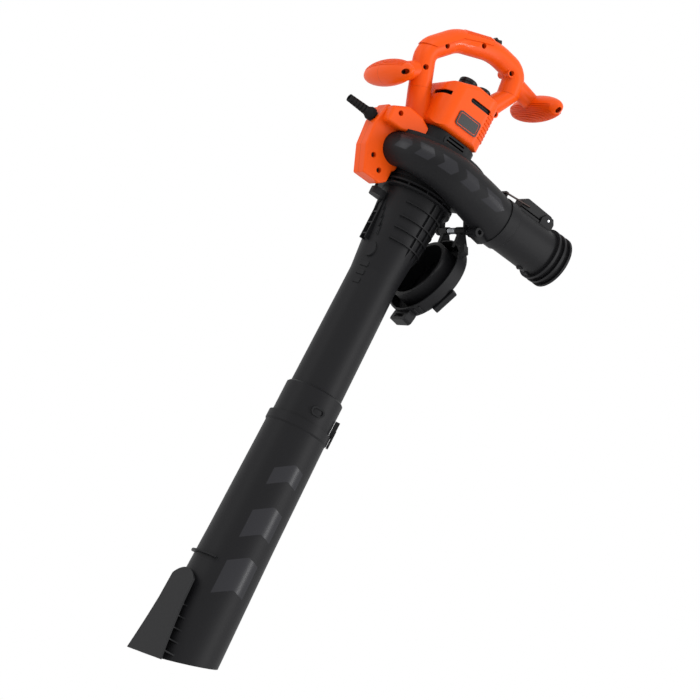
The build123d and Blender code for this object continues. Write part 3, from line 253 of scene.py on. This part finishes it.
half_width = math.radians(CHEVRON_LEFT_DEG + CHEVRON_RIGHT_DEG) / 2
inside = add(tree, "ShaderNodeMath", {"operation": "LESS_THAN"}, in_0=side, in_1=half_width)
mask = None
for low, height in CHEVRON_BANDS_MM:
    middle = (low + height / 2) * MM
    away = add(tree, "ShaderNodeMath", {"operation": "SUBTRACT"}, in_0=level, in_1=middle)
    away = add(tree, "ShaderNodeMath", {"operation": "ABSOLUTE"}, in_0=away)
    band = add(tree, "ShaderNodeMath", {"operation": "LESS_THAN"}, in_0=away, in_1=height / 2 * MM)
    mask = band if mask is None else add(tree, "ShaderNodeMath", {"operation": "ADD"}, in_0=mask,
                                         in_1=band)
mask = add(tree, "ShaderNodeMath", {"operation": "MULTIPLY"}, in_0=mask, in_1=inside)
# the polished chevrons also get a painted sheen, a lighter base colour
polish_with_painted_sheen(tree, shader, bump, mask)
print("chevron bands on the lower tube:", len(CHEVRON_BANDS_MM))

# %% [markdown]
# The fan housing carries a row of smaller ones round the rim, pointing the way the air goes.
# Here the band repeats with the polar angle, and the height above the rim's middle bends it to
# a point.

# %% Chevrons of the fan housing
RIM_MIDDLE_Z = 897.0
RIM_HALF_MM = 11.5
RIM_SINK_MM = 4.0
RIM_PITCH_DEG = 21.5
RIM_START_DEG = 207.0
RIM_COUNT = 5
RIM_SHARE = 0.6
RIM_POINT_DEG = 4.0

rim_plastic, tree, shader = new_finish("charcoal_polypropylene_with_rim_chevrons",
                                       CHARCOAL, MATT, specular=CHARCOAL_SHEEN)
place, bump = grain(tree, shader, GRAIN_MM, GRAIN_DEPTH_MM, GRAIN_STRENGTH)
split = add(tree, "ShaderNodeSeparateXYZ", in_0=place.outputs["Object"])
back_x = add(tree, "ShaderNodeMath", {"operation": "MULTIPLY"}, in_0=split.outputs[0], in_1=-1.0)
back_y = add(tree, "ShaderNodeMath", {"operation": "MULTIPLY"}, in_0=split.outputs[1], in_1=-1.0)
angle = add(tree, "ShaderNodeMath", {"operation": "ARCTAN2"}, in_0=back_y, in_1=back_x)
from_start = add(tree, "ShaderNodeMath", {"operation": "SUBTRACT"}, in_0=angle,
                 in_1=math.radians(RIM_START_DEG - 180))
sink = add(tree, "ShaderNodeMath", {"operation": "MULTIPLY"}, in_0=from_start,
           in_1=RIM_SINK_MM * MM / math.radians(RIM_PITCH_DEG))
lifted = add(tree, "ShaderNodeMath", {"operation": "ADD"}, in_0=split.outputs[2], in_1=sink)
rise = add(tree, "ShaderNodeMath", {"operation": "SUBTRACT"}, in_0=lifted, in_1=RIM_MIDDLE_Z * MM)
rise = add(tree, "ShaderNodeMath", {"operation": "ABSOLUTE"}, in_0=rise)
lean = add(tree, "ShaderNodeMath", {"operation": "MULTIPLY"}, in_0=rise,
           in_1=math.radians(RIM_POINT_DEG) / (RIM_HALF_MM * MM))
start = add(tree, "ShaderNodeMath", {"operation": "ADD"}, in_0=from_start, in_1=lean)
count = add(tree, "ShaderNodeMath", {"operation": "DIVIDE"}, in_0=start,
            in_1=math.radians(RIM_PITCH_DEG))
part = add(tree, "ShaderNodeMath", {"operation": "FRACT"}, in_0=count)
stripe = add(tree, "ShaderNodeMath", {"operation": "LESS_THAN"}, in_0=part, in_1=RIM_SHARE)
after = add(tree, "ShaderNodeMath", {"operation": "GREATER_THAN"}, in_0=count, in_1=0.0)
before = add(tree, "ShaderNodeMath", {"operation": "LESS_THAN"}, in_0=count, in_1=float(RIM_COUNT))
belt = add(tree, "ShaderNodeMath", {"operation": "LESS_THAN"}, in_0=rise, in_1=RIM_HALF_MM * MM)
mask = add(tree, "ShaderNodeMath", {"operation": "MULTIPLY"}, in_0=stripe, in_1=after)
mask = add(tree, "ShaderNodeMath", {"operation": "MULTIPLY"}, in_0=mask, in_1=before)
mask = add(tree, "ShaderNodeMath", {"operation": "MULTIPLY"}, in_0=mask, in_1=belt)
# the polished rim chevrons also get a painted sheen, a lighter base colour
polish_with_painted_sheen(tree, shader, bump, mask)
print("chevrons round the rim:", RIM_COUNT)

# %% [markdown]
# ## Orange ABS
# The handle and the motor cover are ABS, which takes a deep, even colour and a satin skin. The
# two halves of each shell meet in the plane Y = 0, and the joint shows as a hair-fine darker
# line. ABS has an index of refraction near the shader's usual 1.5, so only its roughness is
# set.

# %% Orange shells
ORANGE = "#dc4c05"
SEAM_ORANGE = "#9c2c08"
SEAM_HALF_MM = 0.3
SATIN = 0.4
ORANGE_SHEEN = 0.17
ORANGE_GRAIN_MM = 0.9
ORANGE_GRAIN_DEPTH_MM = 0.1
ORANGE_GRAIN_STRENGTH = 0.18


def dark_seam(tree, shader, y_socket):
    """Darken the base colour in a hair-fine line where the shell's two halves meet."""
    across = add(tree, "ShaderNodeMath", {"operation": "ABSOLUTE"}, in_0=y_socket)
    seam = add(tree, "ShaderNodeMath", {"operation": "LESS_THAN"}, in_0=across,
               in_1=SEAM_HALF_MM * MM)
    tint = add(tree, "ShaderNodeMix", {"data_type": "RGBA"}, in_0=seam,
               in_6=colour(ORANGE), in_7=colour(SEAM_ORANGE))
    tree.links.new(tint.outputs[2], shader.inputs["Base Color"])


orange, tree, shader = new_finish("orange_abs_moulded_satin", ORANGE, SATIN, specular=ORANGE_SHEEN)
place, _ = grain(tree, shader, ORANGE_GRAIN_MM, ORANGE_GRAIN_DEPTH_MM, ORANGE_GRAIN_STRENGTH)
split = add(tree, "ShaderNodeSeparateXYZ", in_0=place.outputs["Object"])
dark_seam(tree, shader, split.outputs[1])
print("finish:", orange.name)

# %% [markdown]
# The handle halves are the same ABS, with one long polished pad on the near side of the arch.
# The pad is only smoother than the rest, so a mask in a frame that leans with the arch lowers
# the roughness.

# %% Handle halves with a polished pad
PAD_MIDDLE = (-51.0, 1111.5)
PAD_LEAN_DEG = 35.0
PAD_HALF_MM = (24.0, 3.6)
PAD_FRONT_Y_MM = -8.0
PAD_ROUGHNESS = 0.16

handle_orange, tree, shader = new_finish("orange_abs_with_polished_pad", ORANGE, SATIN,
                                         specular=ORANGE_SHEEN)
place, _ = grain(tree, shader, ORANGE_GRAIN_MM, ORANGE_GRAIN_DEPTH_MM, ORANGE_GRAIN_STRENGTH)
split = add(tree, "ShaderNodeSeparateXYZ", in_0=place.outputs["Object"])
# the polished pad: a slim rounded strip leaning with the arch
moved = add(tree, "ShaderNodeVectorMath", {"operation": "SUBTRACT"}, in_0=place.outputs["Object"],
            in_1=(PAD_MIDDLE[0] * MM, 0, PAD_MIDDLE[1] * MM))
turned = add(tree, "ShaderNodeVectorRotate", {"rotation_type": "Y_AXIS"}, in_0=moved,
             in_3=math.radians(PAD_LEAN_DEG))
parts = add(tree, "ShaderNodeSeparateXYZ", in_0=turned)
along = add(tree, "ShaderNodeMath", {"operation": "ABSOLUTE"}, in_0=parts.outputs[0])
up = add(tree, "ShaderNodeMath", {"operation": "ABSOLUTE"}, in_0=parts.outputs[2])
within = add(tree, "ShaderNodeMath", {"operation": "LESS_THAN"}, in_0=along,
             in_1=PAD_HALF_MM[0] * MM)
slim = add(tree, "ShaderNodeMath", {"operation": "LESS_THAN"}, in_0=up, in_1=PAD_HALF_MM[1] * MM)
near = add(tree, "ShaderNodeMath", {"operation": "LESS_THAN"}, in_0=split.outputs[1],
           in_1=PAD_FRONT_Y_MM * MM)
pad = add(tree, "ShaderNodeMath", {"operation": "MULTIPLY"}, in_0=within, in_1=slim)
pad = add(tree, "ShaderNodeMath", {"operation": "MULTIPLY"}, in_0=pad, in_1=near)
rough = add(tree, "ShaderNodeMapRange", in_0=pad, in_3=SATIN, in_4=PAD_ROUGHNESS)
tree.links.new(rough.outputs[0], shader.inputs["Roughness"])
dark_seam(tree, shader, split.outputs[1])
print("finish:", handle_orange.name)

# %% [markdown]
# ## Small parts
# Shafts, pins and bearings are zinc-plated steel, and the screws and the latch's wire bail are
# blackened steel. Brushes are pressed carbon, the commutator is hard-drawn copper, holders are
# brass, and the seals are rubber. A metal keeps the default IOR. The caps, the vents and the
# speed slider are black ABS with a semi-gloss skin, and the latch and most inner mouldings are
# glass-filled nylon, which comes out duller.

# %% Small finishes
black_abs, tree, shader = new_finish("black_abs_semi_gloss", "#0e0e10", roughness=0.34,
                                     specular=0.22)
grain(tree, shader, size_mm=1.0, depth_mm=0.06, strength=0.12)
black_nylon, tree, shader = new_finish("black_nylon_glass_filled", "#0e0e10", roughness=0.5,
                                       specular=0.18)
grain(tree, shader, size_mm=0.7, depth_mm=0.1, strength=0.3)
zinc = new_finish("zinc_plated_steel", "#b9bcc0", roughness=0.32, metallic=1.0)[0]
dark_steel = new_finish("blackened_steel_screw", "#3a3230", roughness=0.4, metallic=1.0)[0]
brass = new_finish("drawn_brass", "#c9a24a", roughness=0.3, metallic=1.0)[0]
copper = new_finish("hard_drawn_copper", "#b87345", roughness=0.3, metallic=1.0)[0]
carbon = new_finish("pressed_carbon", "#1b1b1c", roughness=0.7, specular=0.3)[0]
laminations = new_finish("stacked_electrical_steel", "#6d7075", roughness=0.45, metallic=1.0)[0]
seal_rubber = new_finish("moulded_seal_rubber", "#101011", roughness=0.7, specular=0.15)[0]
print("materials so far:", len(bpy.data.materials))

# %% [markdown]
# The badge is a black plate with one orange frame line pressed into it. It is left without any
# words. The line is the floor of a groove, so a test on depth and on the distance from the edge
# finds it.

# %% Badge
badge_low, badge_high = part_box("badge")
GROOVE_DEPTH_MM = 0.4
BORDER_MM = 1.5
BADGE_BLACK = "#111112"

badge_finish, tree, shader = new_finish("black_enamelled_badge", BADGE_BLACK, roughness=0.3)
place = add(tree, "ShaderNodeTexCoord")
split = add(tree, "ShaderNodeSeparateXYZ", in_0=place.outputs["Object"])
middle_x = (badge_low.x + badge_high.x) / 2
half_x = (badge_high.x - badge_low.x) / 2 - BORDER_MM * MM
deep = add(tree, "ShaderNodeMath", {"operation": "GREATER_THAN"}, in_0=split.outputs[1],
           in_1=badge_low.y + GROOVE_DEPTH_MM * MM)
off = add(tree, "ShaderNodeMath", {"operation": "SUBTRACT"}, in_0=split.outputs[0], in_1=middle_x)
off = add(tree, "ShaderNodeMath", {"operation": "ABSOLUTE"}, in_0=off)
near = add(tree, "ShaderNodeMath", {"operation": "LESS_THAN"}, in_0=off, in_1=half_x)
line = add(tree, "ShaderNodeMath", {"operation": "MULTIPLY"}, in_0=deep, in_1=near)
tint = add(tree, "ShaderNodeMix", {"data_type": "RGBA"}, in_0=line,
           in_6=colour(BADGE_BLACK), in_7=colour(ORANGE))
tree.links.new(tint.outputs[2], shader.inputs["Base Color"])
print("badge", [round(v / MM) for v in badge_high - badge_low], "mm")

# %% [markdown]
# ## Dress the CAD pieces
# Each CAD node keeps its mesh and its place. We only give it a finish, listed by what it is
# made of, and check that no node has been forgotten.

# %% Finishes of the CAD nodes
FINISH_OF = {
    tube_plastic: ["lower_tube"],
    rim_plastic: ["volute_lower", "volute_upper"],
    charcoal: ["upper_tube", "outlet_adaptor", "inlet_cover", "motor_base"],
    orange: ["grip_cover", "motor_housing_left", "motor_housing_right"],
    handle_orange: ["handle_left", "handle_right"],
    black_abs: ["top_cap_front", "top_cap_rear", "vent_grille_left", "vent_grille_right",
                "speed_slider"],
    black_nylon: ["bearing_bridge", "cooling_fan", "cord_clamp", "impeller", "interlock_pin",
                  "outlet_latch", "switch_module", "tube_catch"],
    badge_finish: ["badge"],
    zinc: ["cover_hinge_pin", "cover_spring", "impeller_nut", "latch_pin", "lower_bearing",
           "rotor_shaft", "upper_bearing"],
    dark_steel: ["bar_screws", "housing_screws", "latch_bail"],
    brass: ["brush_holder_left", "brush_holder_right"],
    copper: ["commutator"],
    carbon: ["brush_left", "brush_right"],
    laminations: ["armature", "stator"],
    seal_rubber: ["cord_boot", "cover_seal", "outlet_gasket", "tube_seal"],
}
dressed = set()
for material, names in FINISH_OF.items():
    for name in names:
        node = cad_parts[name]
        if not node.data.materials:
            node.data.materials.append(material)
        for i in range(len(node.data.materials)):
            node.data.materials[i] = material
        dressed.add(name)
print("dressed", len(dressed), "forgotten:", sorted(set(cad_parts) - dressed))

# %% [markdown]
# ## Small details
# A few things only matter to the eye: rounded ribs that wrap the front corners of the motor
# cover, ribs across and along the grips, upright ribs that a finger turns the top caps by, and
# the copper windings inside the motor. Each is made from one simple shape that is repeated, so
# one function turns a finished bmesh into an object, gives it its finish, and lets
# it ride its body.

# %% From bmesh to piece
SHARP_EDGE_DEG = 40.0
RIB_SEGMENTS = 8             # sides of the small circle that each round rib is spun from


def piece(name, shape, material, body):
    """Make an object of a bmesh, shade it smooth by angle, and let it ride a CAD body."""
    bmesh.ops.recalc_face_normals(shape, faces=shape.faces)
    data = bpy.data.meshes.new(name)
    shape.to_mesh(data)
    shape.free()
    data.shade_smooth()
    data.set_sharp_from_angle(angle=math.radians(SHARP_EDGE_DEG))
    data.materials.append(material)
    made = bpy.data.objects.new(name, data)
    bpy.context.scene.collection.objects.link(made)
    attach(made, body)
    print(name, "faces:", len(data.polygons))


# %% [markdown]
# A corner rib is a small circle spun a part of a turn about the corner's own upright axis. Spin
# gives the whole sweep in one step. The ends stay inside the cover's wall, so they need no cap
# to the eye, but they are closed all the same.

# %% Ribs round the front corners of the motor cover
COVER_FRONT_X_MM = 43.0
COVER_SIDE_Y_MM = 56.0
CORNER_R_MM = 26.0
CORNER_X_MM = COVER_FRONT_X_MM - CORNER_R_MM
CORNER_Y_MM = COVER_SIDE_Y_MM - CORNER_R_MM
CORNER_RIB_R_MM = 1.7
CORNER_RIB_PITCH_MM = 6.5
CORNER_RIB_COUNT = 8
CORNER_RIB_LOW_Z = 978.0
CORNER_START_DEG = 14.0
CORNER_SWEEP_DEG = 62.0
CORNER_STEPS = 10

shape = bmesh.new()
for hand in (-1, 1):
    for i in range(CORNER_RIB_COUNT):
        height = (CORNER_RIB_LOW_Z + CORNER_RIB_PITCH_MM * i) * MM
        centre = Vector((CORNER_X_MM * MM, hand * CORNER_Y_MM * MM, height))
        start = Matrix.Rotation(math.radians(CORNER_START_DEG * hand), 4, "Z")
        place = Matrix.Translation(centre) @ start @ Matrix.Translation((CORNER_R_MM * MM, 0, 0))
        ring = bmesh.ops.create_circle(shape, segments=RIB_SEGMENTS, radius=CORNER_RIB_R_MM * MM,
                                       cap_ends=True,
                                       matrix=place @ Matrix.Rotation(math.pi / 2, 4, "X"))
        face = ring["verts"][0].link_faces[0]
        bmesh.ops.spin(shape, geom=[face], cent=centre, axis=(0, 0, 1),
                       angle=math.radians(CORNER_SWEEP_DEG * hand), steps=CORNER_STEPS)
piece("cover_corner_ribs", shape, orange, "body")

# %% [markdown]
# The top of the grip is ribbed across, so a gloved hand doesn't slip. Each rib is a thin ring,
# and we need only its upper part: a small circle is spun a part of a turn about the grip's own
# axis.

# %% Cross ribs on the grip cover
GRIP_FROM = Vector((-52, 0, 1117.0)) * MM
GRIP_TO = Vector((-6, 0, 1133.8)) * MM
GRIP_RIB_REACH_MM = 21.0
GRIP_RIB_R_MM = 1.0
GRIP_RIB_COUNT = 15
GRIP_SWEEP_DEG = 96.0
GRIP_STEPS = 16

shape = bmesh.new()
along = (GRIP_TO - GRIP_FROM).normalized()
up = along.cross(Vector((0, 1, 0))).normalized()
if up.z < 0:
    up = -up
for i in range(GRIP_RIB_COUNT):
    centre = GRIP_FROM.lerp(GRIP_TO, i / (GRIP_RIB_COUNT - 1))
    first = Matrix.Rotation(math.radians(-GRIP_SWEEP_DEG / 2), 4, along) @ up
    # the circle stands in the plane that holds the grip's axis and the rib's first radius
    side = along.cross(first).normalized()
    frame_matrix = Matrix((first, along, side)).transposed().to_4x4()
    place = Matrix.Translation(centre + first * GRIP_RIB_REACH_MM * MM) @ frame_matrix
    ring = bmesh.ops.create_circle(shape, segments=RIB_SEGMENTS, radius=GRIP_RIB_R_MM * MM,
                                   cap_ends=True, matrix=place)
    face = ring["verts"][0].link_faces[0]
    bmesh.ops.spin(shape, geom=[face], cent=centre, axis=along,
                   angle=math.radians(GRIP_SWEEP_DEG), steps=GRIP_STEPS)
piece("grip_cross_ribs", shape, orange, "body")

# %% [markdown]
# The transverse grips carry fine ribs that run along them, under the front one and over the
# rear one. The grips are egg shapes, and so is a stretched UV sphere. We keep every other strip
# of its longitudes on the side we want, and give the strips a little thickness.

# %% Long ribs on the transverse grips
BAR_HALF_MM = 70.0
BAR_R_MM = 21.5
BAR_PROUD_MM = 1.0
BAR_RIB_T_MM = 1.0
BAR_STRIPS = 84
BAR_RINGS = 24
BARS = ((-145.5, 996.0, 1.0), (129.5, 1106.0, -1.0))
BAR_KEEP_FROM = 0.1
BAR_END_MM = 54.0

shape = bmesh.new()
for bar_x, bar_z, way in BARS:
    middle = Vector((bar_x, 0, bar_z)) * MM
    radius = BAR_R_MM + BAR_PROUD_MM
    stretch = Matrix.Diagonal((radius * MM, BAR_HALF_MM * MM, radius * MM, 1))
    lie_down = Matrix.Rotation(math.pi / 2, 4, "X")
    egg = bmesh.ops.create_uvsphere(shape, u_segments=BAR_STRIPS, v_segments=BAR_RINGS, radius=1.0,
                                    matrix=Matrix.Translation(middle) @ stretch @ lie_down)
    faces = list({face for vert in egg["verts"] for face in vert.link_faces})
    unwanted = []
    for face in faces:
        at = (face.calc_center_median() - middle) / MM
        part_turn = math.atan2(at.z, at.x) / (2 * math.pi) % 1.0
        strip = math.floor(part_turn * BAR_STRIPS)
        level = at.z * way / max(1.0, math.hypot(at.x, at.z))
        if strip % 2 or level < BAR_KEEP_FROM or abs(at.y) > BAR_END_MM:
            unwanted.append(face)
    bmesh.ops.delete(shape, geom=unwanted, context="FACES")
bmesh.ops.recalc_face_normals(shape, faces=shape.faces)
bmesh.ops.solidify(shape, geom=list(shape.faces), thickness=BAR_RIB_T_MM * MM)
piece("bar_long_ribs", shape, handle_orange, "body")

# %% [markdown]
# The upright ribs of the caps are slim blocks set round a circle. Each block is a cube that is
# scaled, pushed out and turned, which keeps its size easy to read.

# %% Finger ribs of the top caps
CAP_RIB_COUNT = 20
CAP_RIB_MM = (1.4, 1.2, 7.0)
CAP_RIB_MIDDLE_MM = 5.0      # middle of a rib above the foot of its cap

shape = bmesh.new()
for cap in ("top_cap_rear", "top_cap_front"):
    low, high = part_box(cap)
    middle = (low + high) / 2
    radius = (high.x - low.x) / 2
    for i in range(CAP_RIB_COUNT):
        turn = Matrix.Rotation(2 * math.pi * i / CAP_RIB_COUNT, 4, "Z")
        place = Matrix.Translation((middle.x, middle.y, low.z + CAP_RIB_MIDDLE_MM * MM)) @ turn
        stretch = Matrix.Diagonal((*(v * MM for v in CAP_RIB_MM), 1))
        place = place @ Matrix.Translation((radius, 0, 0)) @ stretch
        bmesh.ops.create_cube(shape, size=1.0, matrix=place)
piece("cap_finger_ribs", shape, black_abs, "body")

# %% [markdown]
# The windings are never seen from outside, but the shells can be taken off in a cut-away view.
# Each bundle of wire ends is a fat ring: a small circle spun a full turn about the shaft.

# %% Copper windings
BUNDLE_SEGMENTS = 12
BUNDLE_STEPS = 40
WELD_MM = 0.01
# name, distance from the shaft, half thickness and height in mm, and the body it turns with
BUNDLES = (
    ("field_winding_low", 33.0, 4.5, 957.5, "body"),
    ("field_winding_high", 33.0, 4.5, 1011.0, "body"),
    ("armature_winding_low", 17.0, 4.0, 955.5, "rotor"),
    ("armature_winding_high", 17.5, 3.6, 1009.0, "rotor"),
)
for name, reach, thickness, height, body in BUNDLES:
    shape = bmesh.new()
    place = Matrix.Translation((reach * MM, 0, height * MM)) @ Matrix.Rotation(math.pi / 2, 4, "X")
    ring = bmesh.ops.create_circle(shape, segments=BUNDLE_SEGMENTS, radius=thickness * MM,
                                   matrix=place)
    edges = list({edge for vert in ring["verts"] for edge in vert.link_edges})
    bmesh.ops.spin(shape, geom=edges, cent=(0, 0, height * MM), axis=(0, 0, 1),
                   angle=2 * math.pi, steps=BUNDLE_STEPS, use_merge=True)
    bmesh.ops.remove_doubles(shape, verts=shape.verts, dist=WELD_MM * MM)
    piece(name, shape, copper, body)
